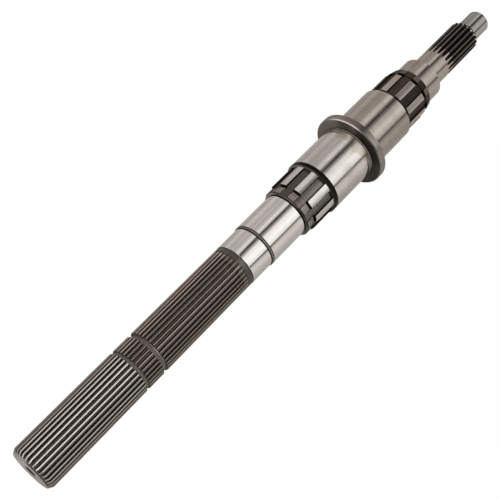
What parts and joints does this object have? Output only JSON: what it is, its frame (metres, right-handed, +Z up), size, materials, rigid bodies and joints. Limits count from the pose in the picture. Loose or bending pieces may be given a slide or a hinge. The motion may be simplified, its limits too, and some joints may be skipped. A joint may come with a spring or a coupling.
{
  "type": "transmission main shaft",
  "caption": "Stepped steel gearbox main shaft with a flange, ground journals, snap ring grooves, fine splines at both ends, straight-sided hub splines and a plain pilot.",
  "frame": {"origin": "on the surface that the shaft lies on, under the middle of its box", "axes": "+X along the shaft's length, from the output end to the pilot; +Z up. The shaft's own axis climbs 2.3 degrees towards +X, because it lies on its flange and on the end of its output spline"},
  "size_m": [0.525, 0.0618, 0.0619],
  "materials": {
    "steel": "dark phosphate, with ground bright steel on the journals, the pilot, the spline lands and the flange's bevel"
  },
  "bodies": {
    "root": {"main_shaft": "steel"}
  },
  "joints": []
}
